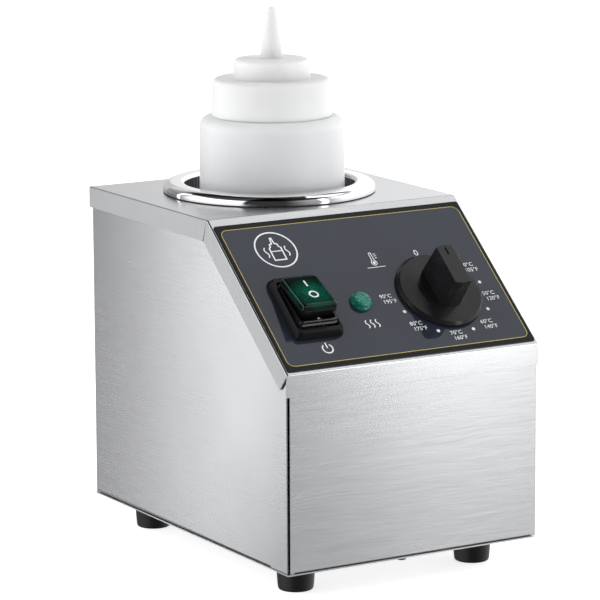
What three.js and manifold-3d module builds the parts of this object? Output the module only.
// A countertop nacho cheese warmer and dispenser: a sloped-front stainless casing with a heated well,
// a squeeze bottle standing in the well, and a control panel with a rocker switch, a lamp and a dial.
// Millimetres, +Z up, +X to the operator's right, -Y towards the operator. The feet stand on Z = 0.
import * as THREE from "three";
import { mergeVertices } from "three/addons/utils/BufferGeometryUtils.js";
import Module from "manifold-3d";

const wasm = await Module();
wasm.setup();

// ---- Driving dimensions -------------------------------------------------------------------------
const WIDTH = 160; // over the cover's side lips
const DEPTH = 220; // from the front lip to the rear lip
const TOP = 196; // top plate above the table
const FOOT = 16; // height of a foot, which is also the underside of the base plate
const SLOPE = THREE.MathUtils.degToRad(40); // control panel above the horizontal
const RUN = 84; // depth of the control panel, seen from above
const LIP = 12; // turned-down edge of the cover
const SHEET = 0.8; // stainless sheet
const GAP = 0.3; // air between touching sheets
const SKIN = 0.1; // air between small stacked pieces
const GLAND_REACH = 16; // cable gland beyond the rear lip

const FRONT = -(DEPTH + GLAND_REACH) / 2; // outer face of the front lip
const BACK = FRONT + DEPTH; // outer face of the rear lip
const SIDE = WIDTH / 2;
const KNEE = TOP - RUN * Math.tan(SLOPE); // height where the slope meets the front lip
const SLANT = RUN / Math.cos(SLOPE); // length of the control panel up the slope

const WRAP_X = SIDE - SHEET - GAP; // outer face of the wrap's side walls
const WRAP_BACK = BACK - SHEET - GAP; // outer face of the wrap's rear wall
const WRAP_FRONT = FRONT + 2.8; // front edge of the side walls, behind the front panel
const FLOOR = FOOT + SHEET; // upper face of the base plate
const FLANGE = FLOOR + GAP; // underside of the flanges that rest on the base plate

const WELL_Y = FRONT + 152.8; // axis of the heated well
const WELL_R = 48.1; // inside radius of the pot
const POT_WALL = 1;
const POT_FLOOR = 61; // inside floor of the pot
const RIM_R = 60.3; // outside radius of the rolled rim
const RIM_H = 6; // height of the rim above the top plate

const BOTTLE = { r: 41, wall: 1.4, lift: 0.2, y: WELL_Y - 3 };
const CAP_Z = TOP + 43.9; // lower edge of the cap's skirt
const NECK = { r: 30.4, wall: 2.2, top: TOP + 60.2 };

const PANEL_S = 42.4; // height up the slope of the row of controls
const SWITCH = { x: -50, s: 42, pivot: 1, tilt: THREE.MathUtils.degToRad(12.5) };
const LAMP = { x: -15, s: 41.6 };
const KNOB = { x: 35.6, s: PANEL_S };
const OVERLAY = { x: 78.5, low: 1.8, high: 104.3, under: SKIN, top: 0.5 };
const SEAT = OVERLAY.top + SKIN; // where the bezels stand on the overlay

const ROUND = { pot: 48, cap: 40, part: 24, screw: 12 };

// ---- Materials ----------------------------------------------------------------------------------
const finish = (color, roughness, metalness) =>
  new THREE.MeshStandardMaterial({ color, roughness, metalness });
const MATERIAL = {
  steel: finish(0xc9cbce, 0.34, 1),
  polished: finish(0xe2e4e6, 0.08, 1),
  zinc: finish(0xb4b6b8, 0.3, 1),
  film: finish(0x363a41, 0.35, 0),
  black: finish(0x141416, 0.38, 0),
  green: finish(0x0a6b48, 0.12, 0),
  ldpe: finish(0xf0f0ee, 0.42, 0),
  rubber: finish(0x121212, 0.7, 0),
  silicone: finish(0xd8d4cc, 0.6, 0),
  nylon: finish(0x2a2a2c, 0.5, 0),
  ivory: finish(0xe6e0cf, 0.5, 0),
  brass: finish(0xc8a45a, 0.3, 1),
  copper: finish(0xb8704a, 0.3, 1),
  foil: finish(0xd2d4d6, 0.25, 1),
  red: finish(0xa02020, 0.5, 0),
  blue: finish(0x24408c, 0.5, 0),
  earth: finish(0x3c8c3a, 0.5, 0),
};

// ---- Shapes -------------------------------------------------------------------------------------
const box = (x0, x1, y0, y1, z0, z1) =>
  new THREE.BoxGeometry(x1 - x0, y1 - y0, z1 - z0).translate((x0 + x1) / 2, (y0 + y1) / 2, (z0 + z1) / 2);

const cylinder = (r, z0, z1, sides = ROUND.part, x = 0, y = 0) =>
  new THREE.CylinderGeometry(r, r, z1 - z0, sides).rotateX(Math.PI / 2).translate(x, y, (z0 + z1) / 2);

// A solid of revolution about Z from [radius, height] pairs that run up the outside.
const lathe = (profile, sides = ROUND.part) =>
  new THREE.LatheGeometry(
    profile.map(([r, z]) => new THREE.Vector2(r, z)),
    sides,
  ).rotateX(Math.PI / 2);

const outline = (points) => new THREE.Shape(points.map(([a, b]) => new THREE.Vector2(a, b)));

const prismZ = (points, z0, z1) =>
  new THREE.ExtrudeGeometry(outline(points), { depth: z1 - z0, bevelEnabled: false }).translate(0, 0, z0);

// [y, z] pairs, extruded along X.
const TO_X = new THREE.Matrix4().set(0, 0, 1, 0, 1, 0, 0, 0, 0, 1, 0, 0, 0, 0, 0, 1);
const prismX = (points, x0, x1) => prismZ(points, x0, x1).applyMatrix4(TO_X);

// A rectangle with cut corners, centred on the origin.
const cutCorners = (a, b, c) => [
  [-a, -b + c],
  [-a + c, -b],
  [a - c, -b],
  [a, -b + c],
  [a, b - c],
  [a - c, b],
  [-a + c, b],
  [-a, b - c],
];

// A slot with round ends along X, centred on [x, y].
function slot(x, y, halfLength, r, z0, z1) {
  const shape = new THREE.Shape();
  shape.absarc(x + halfLength - r, y, r, -Math.PI / 2, Math.PI / 2, false);
  shape.absarc(x - halfLength + r, y, r, Math.PI / 2, Math.PI * 1.5, false);
  return new THREE.ExtrudeGeometry(shape, { depth: z1 - z0, bevelEnabled: false, curveSegments: 3 }).translate(
    0,
    0,
    z0,
  );
}

// A round section swept along a smooth curve through the points.
function tube(points, r, steps, sides = 8) {
  const curve = new THREE.CatmullRomCurve3(points.map((p) => new THREE.Vector3(...p)));
  const section = new THREE.Shape();
  for (let i = 0; i < sides; i++) {
    const turn = (i / sides) * 2 * Math.PI;
    const move = i ? "lineTo" : "moveTo";
    section[move](r * Math.cos(turn), r * Math.sin(turn));
  }
  return new THREE.ExtrudeGeometry(section, { steps, extrudePath: curve, bevelEnabled: false });
}

// ---- Boolean joins and cuts -----------------------------------------------------------------------
function solid(geometry) {
  const bare = geometry.clone();
  bare.deleteAttribute("normal");
  bare.deleteAttribute("uv");
  const merged = mergeVertices(bare, 1e-4);
  return new wasm.Manifold(
    new wasm.Mesh({
      numProp: 3,
      vertProperties: merged.attributes.position.array,
      triVerts: new Uint32Array(merged.index.array),
    }),
  );
}

function surface(manifold) {
  const mesh = manifold.getMesh();
  const geometry = new THREE.BufferGeometry();
  geometry.setAttribute("position", new THREE.BufferAttribute(mesh.vertProperties, 3));
  geometry.setIndex(new THREE.BufferAttribute(mesh.triVerts, 1));
  return geometry;
}

// Joins the first list of shapes, then cuts the second list from them.
function carve(joined, removed = []) {
  let made = solid(joined[0]);
  for (const shape of joined.slice(1)) made = made.add(solid(shape));
  for (const shape of removed) made = made.subtract(solid(shape));
  return surface(made);
}

// ---- The assembly ---------------------------------------------------------------------------------
const warmer = new THREE.Group();

// The control panel's own frame: +X across, +Y up the slope, +Z out of the panel.
const panel = new THREE.Group();
panel.position.set(0, FRONT, KNEE);
panel.rotation.x = SLOPE;
warmer.add(panel);

const TO_PANEL = new THREE.Matrix4()
  .makeTranslation(0, FRONT, KNEE)
  .multiply(new THREE.Matrix4().makeRotationX(SLOPE));

// A point given in the panel's frame, in the part's frame.
const fromPanel = (x, s, h) => new THREE.Vector3(x, s, h).applyMatrix4(TO_PANEL).toArray();

function add(name, geometry, material, parent = warmer) {
  geometry.computeVertexNormals();
  const mesh = new THREE.Mesh(geometry, material);
  mesh.name = name;
  parent.add(mesh);
  return mesh;
}

// The side profile of the cover's outer face, moved inwards by d: front, knee, brow and back.
function profile(d) {
  const rise = d / Math.cos(SLOPE);
  const knee = [FRONT + d, KNEE + d * Math.tan(SLOPE) - rise];
  const brow = [FRONT + RUN + (rise - d) / Math.tan(SLOPE), TOP - d];
  return { front: FRONT + d, knee, brow, back: BACK - d, top: TOP - d };
}

function addCover() {
  const out = profile(0);
  const inn = profile(SHEET);
  const lipEnd = [FRONT + LIP * Math.sin(SLOPE), KNEE - LIP * Math.cos(SLOPE)];
  const band = profile(LIP);
  const sideLip = [
    out.knee,
    lipEnd,
    band.brow,
    [BACK, TOP - LIP],
    [BACK, TOP],
    out.brow,
  ];
  const top = prismX([inn.knee, inn.brow, [BACK, inn.top], [BACK, TOP], out.brow, out.knee], -SIDE, SIDE);
  const frontLip = prismX(
    [[FRONT, KNEE - LIP], [FRONT + SHEET, KNEE - LIP], [FRONT + SHEET, KNEE], [FRONT, KNEE]],
    -SIDE,
    SIDE,
  );
  const rearLip = box(-SIDE, SIDE, BACK - SHEET, BACK, TOP - LIP, TOP);
  const holes = [
    cylinder(WELL_R + 3.4, TOP - 5, TOP + 5, ROUND.pot, 0, WELL_Y),
    prismZ(cutCorners(10.8, 14.4, 1), -5, 5)
      .translate(SWITCH.x, SWITCH.s, 0)
      .applyMatrix4(TO_PANEL),
    cylinder(5, -5, 5, ROUND.part, LAMP.x, LAMP.s).applyMatrix4(TO_PANEL),
    cylinder(5.2, -5, 5, ROUND.part, KNOB.x, KNOB.s).applyMatrix4(TO_PANEL),
    ...COVER_SCREWS.map((x) => rearHole(x, COVER_SCREW_Z)),
    ...[-1, 1].map((side) =>
      cylinder(2.3, -5, 5, ROUND.screw, KNOB.x + side * THERMOSTAT.screw, KNOB.s).applyMatrix4(TO_PANEL),
    ),
  ];
  const lips = [prismX(sideLip, -SIDE, -SIDE + SHEET), prismX(sideLip, SIDE - SHEET, SIDE)];
  add("top_cover", carve([top, frontLip, rearLip, ...lips], holes), MATERIAL.steel);
}

// ---- Casing ---------------------------------------------------------------------------------------
const COVER_SCREWS = [-55, 55];
const COVER_SCREW_Z = TOP - LIP / 2;
const THERMOSTAT = { screw: 14, back: -26, halfX: 18, halfS: 16 };
const GLAND = { x: -50, z: 42, hole: 7.9 };

const rearHole = (x, z, r = 2.2, sides = ROUND.screw) =>
  cylinder(r, -8, 8, sides)
    .rotateX(Math.PI / 2)
    .translate(x, BACK, z);

function addWrap() {
  const inn = profile(SHEET + GAP);
  const wall = [
    [WRAP_FRONT, FLANGE],
    [WRAP_FRONT, inn.knee[1] - (inn.front - WRAP_FRONT) * Math.tan(SLOPE)],
    inn.brow,
    [WRAP_BACK, inn.top],
    [WRAP_BACK, FLANGE],
  ].reverse();
  const FOLD = 10; // inward flanges along the bottom
  const inside = WRAP_X - SHEET;
  const holes = [
    box(-inside, inside, FRONT - 5, WRAP_BACK - SHEET, FLANGE + SHEET, TOP + 5),
    box(-WRAP_X + FOLD, WRAP_X - FOLD, FRONT + 15, WRAP_BACK - FOLD, FLANGE - 5, FLANGE + 5),
    box(-inside, inside, FRONT - 5, FRONT + 20, FLANGE - 5, FLANGE + 5),
    ...COVER_SCREWS.map((x) => rearHole(x, COVER_SCREW_Z)),
    rearHole(GLAND.x, GLAND.z, GLAND.hole, ROUND.part),
    ...BASE_SCREWS.slice(1).map(([, x, y]) => cylinder(2.3, FLOOR - 1, FLOOR + 3, ROUND.screw, x, y)),
  ];
  add("casing_wrap", carve([prismX(wall, -WRAP_X, WRAP_X)], holes), MATERIAL.steel);
}

// Name ending, x and y of the screws that hold the base plate to the casing's flanges.
const BASE_SCREWS = [
  ["front", -4.3, FRONT + 7],
  ["rear", 0, WRAP_BACK - 6],
  ["left", -WRAP_X + 6, FRONT + 110],
  ["right", WRAP_X - 6, FRONT + 110],
];

function addFrontPanel() {
  const FACE = 79; // half width of the face, which covers the side walls' front edges
  const HALF = 77.4; // half width over the side returns, which stand inside the walls
  const DEEP = 12; // side and bottom returns
  const face = FRONT + SHEET + GAP;
  const high = KNEE - 3;
  const sheet = box(-FACE, FACE, face, face + SHEET, FLANGE, high);
  const tray = box(-HALF, HALF, face, face + DEEP, FLANGE, high);
  const [, x, y] = BASE_SCREWS[0];
  const holes = [
    box(-HALF + SHEET, HALF - SHEET, face + SHEET, face + DEEP + 5, FLANGE + SHEET, high + 5),
    box(-HALF - 5, HALF + 5, face + SHEET, face + DEEP + 5, high - 10, high + 5),
    cylinder(2.3, FLOOR - 1, FLOOR + 3, ROUND.screw, x, y),
  ];
  add("front_panel", carve([sheet, tray], holes), MATERIAL.steel);
}

const FEET = [
  ["front_left", -57, FRONT + 30.4],
  ["front_right", 57, FRONT + 30.4],
  ["rear_left", -57, BACK - 30.2],
  ["rear_right", 57, BACK - 30.2],
];

function addBase() {
  const plate = box(-WRAP_X, WRAP_X, FRONT + 1.5, WRAP_BACK, FOOT, FLOOR);
  const VENTS = 5;
  const VENT_HALF = 3.5;
  const vents = [];
  for (let i = 0; i < VENTS; i++) {
    const y = WELL_Y + (i - (VENTS - 1) / 2) * 14;
    vents.push(slot(0, y, 20, VENT_HALF, FOOT - 1, FLOOR + 1));
  }
  const holes = [...FEET, ...BASE_SCREWS].map(([, x, y]) => cylinder(2.3, FOOT - 1, FLOOR + 1, ROUND.screw, x, y));
  add("base_plate", carve([plate], [...vents, ...holes]), MATERIAL.steel);
}

// A pan-head screw along Z: the head lies below headTop and the shank runs up to tip.
function panScrew(headR, headH, shankR, headTop, tip) {
  return lathe(
    [
      [0, headTop - headH],
      [headR * 0.7, headTop - headH],
      [headR, headTop - headH * 0.5],
      [headR, headTop],
      [shankR, headTop],
      [shankR, tip],
      [0, tip],
    ],
    ROUND.screw,
  );
}

function addFeet() {
  const RECESS = 8; // depth of the counterbore that hides the screw head
  const foot = [
    [5, 0],
    [8.9, 0],
    [9.7, 0.9],
    [10.8, FOOT - SKIN],
    [2.3, FOOT - SKIN],
    [2.3, RECESS],
    [5, RECESS],
    [5, 0],
  ];
  for (const [where, x, y] of FEET) {
    add("foot_" + where, lathe(foot), MATERIAL.rubber).position.set(x, y, 0);
    const screw = panScrew(4, 2.6, 1.9, RECESS - SKIN, FLOOR + 5);
    add("foot_screw_" + where, screw, MATERIAL.zinc).position.set(x, y, 0);
  }
}

function addCasingScrews() {
  for (const [where, x, y] of BASE_SCREWS) {
    const screw = panScrew(3.6, 1.8, 1.9, FOOT - SKIN, FLOOR + 5);
    add("base_screw_" + where, screw, MATERIAL.zinc).position.set(x, y, 0);
  }
  COVER_SCREWS.forEach((x, i) => {
    const screw = add("cover_screw_" + ["left", "right"][i], panScrew(3.6, 1.8, 1.9, 0, 8), MATERIAL.zinc);
    screw.position.set(x, BACK + SKIN, COVER_SCREW_Z);
    screw.rotation.x = Math.PI / 2;
  });
}

// ---- Heated well ----------------------------------------------------------------------------------
function addWell() {
  const r = WELL_R;
  const w = POT_WALL;
  const top = TOP + RIM_H;
  const pot = [
    [0, POT_FLOOR - w],
    [r - 7, POT_FLOOR - w],
    [r + w - 2.3, POT_FLOOR - w + 2.3],
    [r + w, POT_FLOOR + 7],
    [r + w, top - 3],
    [r + w + 1.4, top - w],
    [RIM_R - 3.6, top - w],
    [RIM_R - 1.6, top - 2],
    [RIM_R - 1, top - 3.2],
    [RIM_R - 1.7, TOP + 0.4],
    [RIM_R - 0.7, TOP + 0.4],
    [RIM_R, top - 3.2],
    [RIM_R - 1, top - 1],
    [RIM_R - 3.4, top],
    [r + 1.6, top],
    [r + 0.4, top - 0.6],
    [r, top - 2],
    [r, POT_FLOOR + 7],
    [r - 2, POT_FLOOR + 2],
    [r - 7, POT_FLOOR],
    [0, POT_FLOOR],
  ];
  add("well_pot", lathe(pot, ROUND.pot), MATERIAL.polished).position.y = WELL_Y;

  const seal = [
    [r + 5, TOP + SKIN],
    [RIM_R - 3, TOP + SKIN],
    [RIM_R - 3, top - w - 1.2],
    [r + 5, top - w - 1.2],
    [r + 5, TOP + SKIN],
  ];
  add("well_seal", lathe(seal, ROUND.pot), MATERIAL.silicone).position.y = WELL_Y;

  // Bent clips under the top plate, which draw the rim down on its seal.
  const CLIPS = 3;
  const under = TOP - SHEET - SKIN;
  for (let i = 0; i < CLIPS; i++) {
    const clip = carve([
      box(-7, 7, -(r + w + 1.2), -(r + w + GAP), under - 14, under),
      box(-7, 7, -(r + w + 9), -(r + w + GAP), under - 1, under),
    ]);
    const mesh = add("well_clip_" + (i + 1), clip, MATERIAL.zinc);
    mesh.position.y = WELL_Y;
    mesh.rotation.z = (i * 2 + 1) * (Math.PI / CLIPS);
  }
}

// ---- Heater and cut-out ----------------------------------------------------------------
const BAND = { low: 74, high: 152, r: WELL_R + POT_WALL + GAP, thick: 1.8, screwZ: 142 };

// A wedge that opens towards the operator, for cutting a gap in a ring.
const wedge = (halfAngle, reach, z0, z1) =>
  prismZ(
    [
      [0, 0],
      [-reach * Math.sin(halfAngle), -reach * Math.cos(halfAngle)],
      [reach * Math.sin(halfAngle), -reach * Math.cos(halfAngle)],
    ],
    z0,
    z1,
  );

const ring = (inner, outer, z0, z1, sides) =>
  lathe(
    [
      [inner, z0],
      [outer, z0],
      [outer, z1],
      [inner, z1],
      [inner, z0],
    ],
    sides,
  );

function addHeater() {
  const open = THREE.MathUtils.degToRad(11);
  const outer = BAND.r + BAND.thick;
  const edge = outer * Math.sin(open);
  const tab = (x) => box(x - 0.8, x + 0.8, -(outer + 11), -(outer - 1.5), BAND.screwZ - 8, BAND.screwZ + 8);
  const post = (angle) =>
    cylinder(2, 0, 8, ROUND.screw)
      .rotateX(Math.PI / 2)
      .translate(0, -(outer - 1), BAND.low + 10)
      .rotateZ(angle);
  const screwHole = cylinder(2.2, -20, 20, ROUND.screw)
    .rotateY(Math.PI / 2)
    .translate(0, -(outer + 6), BAND.screwZ);
  const band = carve(
    [
      surface(
        solid(ring(BAND.r, outer, BAND.low, BAND.high, ROUND.pot)).subtract(
          solid(wedge(open, 80, BAND.low - 1, BAND.high + 1)),
        ),
      ),
      tab(-edge - 0.6),
      tab(edge + 0.6),
      post(HEATER_POST),
      post(-HEATER_POST),
    ],
    [screwHole],
  );
  add("heater_band", band, MATERIAL.foil).position.y = WELL_Y;

  const screw = panScrew(3.6, 2.4, 1.9, 0, 26).rotateY(Math.PI / 2).translate(-edge - 1.6, 0, 0);
  add("heater_clamp_screw", screw, MATERIAL.zinc).position.set(0, WELL_Y - outer - 6, BAND.screwZ);

  const under = POT_FLOOR - POT_WALL - SKIN;
  const leg = (x) => box(x - 1.5, x + 1.5, -0.4, 0.4, under - CUTOUT.reach, under - 8);
  const cutout = carve([
    cylinder(8, under - 9, under, ROUND.part),
    box(-14, 14, -3.5, 3.5, under - 1, under),
    leg(-CUTOUT.leg),
    leg(CUTOUT.leg),
  ]);
  add("thermal_cutout", cutout, MATERIAL.nylon).position.set(0, CUTOUT.y, 0);
}
const HEATER_POST = THREE.MathUtils.degToRad(26);
const CUTOUT = { y: WELL_Y - 14, leg: 5.9, reach: 16 };

// ---- Bottle ---------------------------------------------------------------------------------------
function addBottle() {
  const { r, wall, lift, y } = BOTTLE;
  const low = POT_FLOOR + lift;
  const shoulder = CAP_Z - 0.3;
  const n = NECK;
  const body = [
    [0, low + 2],
    [r - 12, low + 2],
    [r - 8, low],
    [r - 4, low],
    [r - 1, low + 1.2],
    [r, low + 5],
    [r, shoulder - 7.5],
    [r - 1.6, shoulder - 3.4],
    [r - 6, shoulder - 0.6],
    [n.r, shoulder],
    [n.r, n.top],
    [n.r - n.wall, n.top],
    [n.r - n.wall, shoulder - 2],
    [r - 7, shoulder - 2.4],
    [r - 2.9, shoulder - 4.6],
    [r - wall, shoulder - 8],
    [r - wall, low + 5.4],
    [r - 3.4, low + 3.4],
    [0, low + 3.4],
  ];
  add("bottle_body", lathe(body, ROUND.cap), MATERIAL.ldpe).position.y = y;

  const skirt = { low: 34.3, high: 32.9, inner: 31.6 };
  const deck = TOP + 64.6;
  const tier = { low: 21.8, high: 20.8, top: TOP + 75.6 };
  const spout = { low: 6.2, high: 3.2, top: TOP + 104 };
  const cap = [
    [skirt.inner, CAP_Z],
    [skirt.low, CAP_Z],
    [skirt.high, deck - 2.4],
    [skirt.high - 0.8, deck - 0.7],
    [skirt.high - 2.6, deck],
    [tier.low, deck],
    [tier.high, tier.top - 1.4],
    [tier.high - 1.4, tier.top],
    [spout.low + 1, tier.top],
    [spout.low, tier.top + 1.4],
    [spout.high + 0.1, spout.top - 0.4],
    [spout.high - 0.3, spout.top],
    [1.6, spout.top],
    [4.4, tier.top + 2],
    [5.4, tier.top - 1.8],
    [tier.high - 2.6, tier.top - 1.8],
    [tier.low - 2, deck - 2],
    [skirt.inner, deck - 2],
    [skirt.inner, CAP_Z],
  ];
  add("bottle_cap", lathe(cap, ROUND.cap), MATERIAL.ldpe).position.y = y;
  const seal = ring(n.r - n.wall + 0.2, skirt.inner - 0.4, n.top + SKIN, deck - 2 - SKIN, ROUND.cap);
  add("cap_seal", seal, MATERIAL.silicone).position.y = y;
}

// ---- Control panel ----------------------------------------------------------------------------------
function addOverlay() {
  const { x, low, high, under, top } = OVERLAY;
  const sheet = box(-x, x, low, high, under, top);
  const holes = [
    prismZ(cutCorners(10.8, 14.4, 1), -2, 2).translate(SWITCH.x, SWITCH.s, 0),
    cylinder(5, -2, 2, ROUND.part, LAMP.x, LAMP.s),
    cylinder(5.2, -2, 2, ROUND.part, KNOB.x, KNOB.s),
    cylinder(2.3, -2, 2, ROUND.screw, KNOB.x - THERMOSTAT.screw, KNOB.s),
    cylinder(2.3, -2, 2, ROUND.screw, KNOB.x + THERMOSTAT.screw, KNOB.s),
  ];
  add("control_overlay", carve([sheet], holes), MATERIAL.film, panel);
}

// A block whose section shrinks from cutCorners(a0, b0) at z0 to cutCorners(a1, b1) at z1.
function taperBlock(a0, b0, a1, b1, corner, z0, z1) {
  const geometry = prismZ(cutCorners(a0, b0, corner), z0, z1);
  const position = geometry.attributes.position;
  for (let i = 0; i < position.count; i++) {
    if (position.getZ(i) < (z0 + z1) / 2) continue;
    position.setXY(i, (position.getX(i) * a1) / a0, (position.getY(i) * b1) / b0);
  }
  return geometry;
}

const HOUSING = { halfX: 10.4, halfS: 14, back: -24, wall: 1.4, floor: -9 };
const TERMINALS = [-7, 7]; // up the slope from the switch's centre
const TERMINAL_TIP = HOUSING.back - 9;

function addSwitch() {
  const at = new THREE.Group();
  at.position.set(SWITCH.x, SWITCH.s, 0);
  panel.add(at);

  const frame = carve(
    [taperBlock(15.2, 20.7, 13.6, 19.1, 2.6, SEAT, 5.3).translate(0, -0.4, 0)],
    [prismZ(cutCorners(12.5, 16.6, 1.4), 0, 8)],
  );
  add("switch_frame", frame, MATERIAL.black, at);

  const h = HOUSING;
  const housing = carve(
    [
      prismZ(cutCorners(h.halfX, h.halfS, 1), h.back, SEAT),
      box(-9.7, 9.7, -3.2, 3.2, 0, SWITCH.pivot + 2),
      box(-5, 5, h.halfS - 0.5, h.halfS + 1.6, -7, -1.4),
      box(-5, 5, -h.halfS - 1.6, -h.halfS + 0.5, -7, -1.4),
    ],
    [
      box(-h.halfX + h.wall, h.halfX - h.wall, -h.halfS + h.wall, h.halfS - h.wall, h.floor, 5),
      cylinder(1.6, -15, 15, ROUND.part).rotateY(Math.PI / 2).translate(0, 0, SWITCH.pivot),
      ...TERMINALS.map((s) => box(-3.3, 3.3, s - 0.6, s + 0.6, h.back - 1, h.back + 5)),
    ],
  );
  add("switch_housing", housing, MATERIAL.nylon, at);
  TERMINALS.forEach((s, i) => {
    const blade = box(-3.1, 3.1, s - 0.4, s + 0.4, TERMINAL_TIP, h.back + 4.8);
    add("switch_terminal_" + (i + 1), blade, MATERIAL.brass, at);
  });

  // The rocker and its boot turn on the housing's pivot, so they are built about it, then tilted.
  const pivoted = (tilt) => {
    const group = new THREE.Group();
    group.position.z = SWITCH.pivot;
    group.rotation.x = -tilt;
    at.add(group);
    return group;
  };
  const boot = carve(
    [taperBlock(12, 15.6, 11.5, 15, 1.4, 1.5, 5.3)],
    [prismZ(cutCorners(10.6, 14, 1), 0, 12)],
  );
  add("switch_boot", boot, MATERIAL.rubber, pivoted(SWITCH.tilt / 2));

  const rocker = pivoted(SWITCH.tilt);
  const carrier = carve([
    taperBlock(9, 12.2, 10.1, 12.9, 0.8, 3, 7.1),
    prismZ(cutCorners(10.9, 13.4, 1), 7, 8.8),
    box(-8.4, 8.4, -2.6, 2.6, -2, 3.2),
    cylinder(1.5, -9.6, 9.6, ROUND.part).rotateY(Math.PI / 2),
  ]);
  add("rocker_carrier", carrier, MATERIAL.black, rocker);
  const cap = taperBlock(10.6, 12.9, 10.3, 12.7, 1, 8.8 + SKIN, 12.6);
  add("rocker_cap", cap, MATERIAL.green, rocker);
}

function addLamp() {
  const at = new THREE.Group();
  at.position.set(LAMP.x, LAMP.s, 0);
  panel.add(at);
  const lens = [
    [0, -3],
    [4.7, -3],
    [4.7, SEAT],
    [6.2, SEAT],
    [6.2, 1.4],
    [5.7, 2],
    [5, 2],
    [5, 3.6],
    [4.3, 4.4],
    [0, 4.7],
  ];
  add("lamp_lens", lathe(lens), MATERIAL.green, at);
  const body = carve([
    cylinder(4.6, -26, -3 - SKIN),
    box(-2.4, -1.4, -0.6, 0.6, -32, -25),
    box(1.4, 2.4, -0.6, 0.6, -32, -25),
  ]);
  add("lamp_body", body, MATERIAL.nylon, at);
  const clip = carve([cylinder(8.4, -2, -1.2)], [cylinder(4.9, -5, 5)]);
  add("lamp_clip", clip, MATERIAL.zinc, at);
}

function addThermostat() {
  const at = new THREE.Group();
  at.position.set(KNOB.x, KNOB.s, 0);
  panel.add(at);
  const t = THERMOSTAT;
  const NOSE = -SHEET - GAP; // the body's front face, behind the sheet
  const SHAFT = { r: 3, flat: 2.1, low: -9, high: 17 };

  const dShaft = (r, flat, z0, z1) =>
    surface(solid(cylinder(r, z0, z1)).subtract(solid(box(flat, r + 1, -r - 1, r + 1, z0 - 1, z1 + 1))));
  const screwHole = (side) => cylinder(2.2, -8, 1, ROUND.screw, side * t.screw, 0);
  const body = carve(
    [
      box(-t.halfX, t.halfX, -t.halfS, t.halfS, t.back, NOSE),
      box(-11, -5, -9.4, -8.6, t.back - 8, t.back + 1),
      box(5, 11, -9.4, -8.6, t.back - 8, t.back + 1),
      cylinder(1.8, t.back - 3, t.back + 1, ROUND.screw, 0, 9),
    ],
    [cylinder(3.4, -11, 2), screwHole(-1), screwHole(1)],
  );
  add("thermostat_body", body, MATERIAL.nylon, at);
  for (const [name, side] of [["left", -1], ["right", 1]]) {
    const screw = panScrew(3.5, 1.7, 1.9, 0, 7.5).rotateX(Math.PI);
    add("thermostat_screw_" + name, screw, MATERIAL.zinc, at).position.set(side * t.screw, 0, SEAT);
  }
  add("thermostat_shaft", dShaft(SHAFT.r, SHAFT.flat, SHAFT.low, SHAFT.high), MATERIAL.brass, at);

  const skirt = [
    [0, 1],
    [25.2, 1],
    [25, 2.2],
    [23.6, 3.9],
    [13.6, 5],
    [0, 5],
  ];
  const GRIP = { r: 13.5, half: 5.4, top: 24.3 };
  const grip = surface(
    solid(cylinder(GRIP.r, 4, GRIP.top, ROUND.cap)).intersect(
      solid(taperBlock(GRIP.half + 1.1, 14, GRIP.half, 14, 0.5, 4, GRIP.top)),
    ),
  );
  const knob = carve(
    [lathe(skirt, ROUND.cap), grip],
    [
      cylinder(21, 0, 3, ROUND.cap),
      dShaft(SHAFT.r + 0.15, SHAFT.flat + 0.15, 0, SHAFT.high + 1),
      box(-0.5, 0.5, 6, 11, GRIP.top - 0.5, GRIP.top + 1),
    ],
  );
  add("knob", knob, MATERIAL.black, at);
}

// The sensing bulb stands in the heater band's gap, and its capillary runs to the thermostat.
function addBulb() {
  const BULB = { r: 3, y: WELL_Y - (WELL_R + POT_WALL + GAP + 3), low: 78, high: 122 };
  const bulb = lathe([
    [0, BULB.low],
    [2, BULB.low],
    [BULB.r, BULB.low + 1.4],
    [BULB.r, BULB.high - 1.4],
    [1.4, BULB.high],
    [0, BULB.high],
  ], ROUND.screw);
  add("thermostat_bulb", bulb, MATERIAL.copper).position.y = BULB.y;
  const clip = carve(
    [box(-7, 7, BULB.y - 4.4, BULB.y + 2.6, 92, 100)],
    [cylinder(BULB.r + 0.3, 90, 102, ROUND.part, 0, BULB.y), box(-5, 5, BULB.y, BULB.y + 5, 90, 102)],
  );
  add("bulb_clip", clip, MATERIAL.zinc);
  const start = fromPanel(KNOB.x, KNOB.s + 9, THERMOSTAT.back - 3 - GAP);
  const capillary = tube(
    [
      start,
      fromPanel(KNOB.x, KNOB.s + 9, THERMOSTAT.back - 12),
      [24, -39, 130],
      [13, -31, 129.5],
      [4, -22, 129],
      [0.3, BULB.y - 0.4, 126],
      [0, BULB.y, BULB.high + GAP],
    ],
    0.9,
    26,
  );
  add("capillary_tube", capillary, MATERIAL.copper);
}

// ---- Mains entry and wiring -------------------------------------------------------------------------
const BLOCK = { x: -37, y: BACK - 34, w: 15, d: 9, h: 15 };

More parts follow.
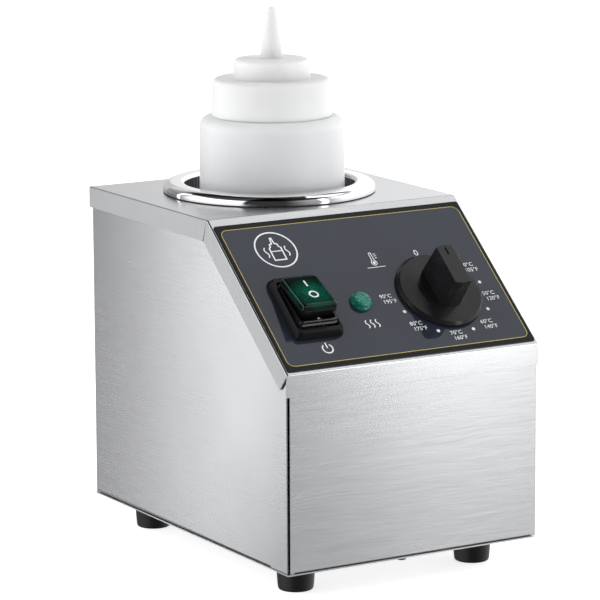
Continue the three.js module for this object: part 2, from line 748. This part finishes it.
function addMains() {
  const at = new THREE.Group();
  at.position.set(GLAND.x, WRAP_BACK, GLAND.z);
  at.rotation.x = -Math.PI / 2;
  warmer.add(at);
  const SIX = 6;
  const bore = (r) => [cylinder(r, -30, 30)];
  const body = carve([cylinder(9.6, SKIN, 5, SIX), cylinder(7.6, -12, 4.8), cylinder(6.6, 4, 13)], bore(4));
  add("gland_body", body, MATERIAL.nylon, at);
  const end = GLAND_REACH + SHEET + GAP;
  const nut = carve(
    [cylinder(9.2, 5.2, 12, SIX), lathe([[0, 5.2], [8, 5.2], [8, 12], [7.2, 15], [5, end], [0, end]])],
    [cylinder(6.9, 0, 13.3), ...bore(3.6)],
  );
  add("gland_nut", nut, MATERIAL.nylon, at);
  const locknut = carve([cylinder(10.4, -5.4, -SHEET - SKIN, SIX)], bore(7.9));
  add("gland_locknut", locknut, MATERIAL.nylon, at);

  const b = BLOCK;
  const ways = [-10, 0, 10];
  const block = carve(
    [box(b.x - b.w, b.x + b.w, b.y - b.d, b.y + b.d, FLOOR + SKIN, FLOOR + b.h)],
    ways.flatMap((dx) => [
      cylinder(2.2, FLOOR + 8, FLOOR + 20, 8, b.x + dx, b.y),
      box(b.x + dx - 2.9, b.x + dx + 2.9, b.y - b.d - 1, b.y - b.d + 4, FLOOR + 4, FLOOR + 8),
    ]),
  );
  add("terminal_block", block, MATERIAL.ivory);
}

const EARTH_TAB = [60, WRAP_BACK - 5, FLANGE + SHEET + 1.6]; // on the casing's rear flange

function addWires() {
  const R = 1.1;
  const AIR = GAP + 0.2; // between a wire's end and the tab it serves
  const blockWay = (dx) => [BLOCK.x + dx, BLOCK.y - BLOCK.d + 2, FLOOR + 6];
  const leave = (dx, out) => [BLOCK.x + dx, BLOCK.y - BLOCK.d - out, FLOOR + 6];
  const onSwitch = (s, h) => fromPanel(SWITCH.x, SWITCH.s + s, TERMINAL_TIP - AIR - h);
  const onThermostat = (dx, h) => fromPanel(KNOB.x + dx, KNOB.s - 9, THERMOSTAT.back - 8 - AIR - h);
  const onLamp = (dx, h) => fromPanel(LAMP.x + dx, LAMP.s, -32 - AIR - h);
  const onCutout = (side, h) => [side * CUTOUT.leg, CUTOUT.y, POT_FLOOR - POT_WALL - CUTOUT.reach - AIR - h];
  const onBand = (side, out) => {
    const reach = BAND.r + BAND.thick + 7 + AIR + out;
    const angle = side * HEATER_POST;
    return [reach * Math.sin(angle), WELL_Y - reach * Math.cos(angle), BAND.low + 10];
  };

  const runs = {
    live_wire: [
      MATERIAL.red,
      [blockWay(-10), leave(-10, 10), [-60, 24, 27], [-66, -30, 34], [-66, -58, 78],
        onSwitch(TERMINALS[0], 9), onSwitch(TERMINALS[0], 0)],
    ],
    switched_wire: [
      MATERIAL.red,
      [onSwitch(TERMINALS[1], 0), onSwitch(TERMINALS[1], 7), fromPanel(-20, 52, -54), fromPanel(8, 40, -52),
        onThermostat(-8, 9), onThermostat(-8, 0)],
    ],
    heater_wire: [
      MATERIAL.red,
      [onThermostat(10, 0), onThermostat(10, 8), [48, -50, 102], [34, -36, 88], onBand(1, 4), onBand(1, 0)],
    ],
    band_wire: [
      MATERIAL.blue,
      [onBand(-1, 0), onBand(-1, 6), [-30, -40, 66], [-16, -12, 36], onCutout(-1, 7), onCutout(-1, 0)],
    ],
    neutral_wire: [
      MATERIAL.blue,
      [blockWay(1.5), leave(1.5, 8), [-26, 36, 25], [0, 24, 28], onCutout(1, 9), onCutout(1, 0)],
    ],
    lamp_neutral_wire: [
      MATERIAL.blue,
      [blockWay(-1.5), leave(-1.5, 8), [-44, 22, 24], [-34, -24, 34], [-24, -56, 72], onLamp(-1.9, 8),
        onLamp(-1.9, 0)],
    ],
    lamp_live_wire: [
      MATERIAL.red,
      [onLamp(1.9, 0), onLamp(1.9, 7), fromPanel(8, 30, -46), onThermostat(6.6, 9), onThermostat(6.6, 0)],
    ],
    earth_wire: [
      MATERIAL.earth,
      [blockWay(10), leave(10, 8), [-10, 58, 25], [24, 78, 23], [50, 86, 21.5], EARTH_TAB],
    ],
  };
  for (const [name, [material, points]] of Object.entries(runs)) {
    add(name, tube(points, R, 4 * points.length), material);
  }
}

addCover();
addWrap();
addFrontPanel();
addBase();
addFeet();
addCasingScrews();
addWell();
addHeater();
addBottle();
addOverlay();
addSwitch();
addLamp();
addThermostat();
addBulb();
addMains();
addWires();

export default warmer;
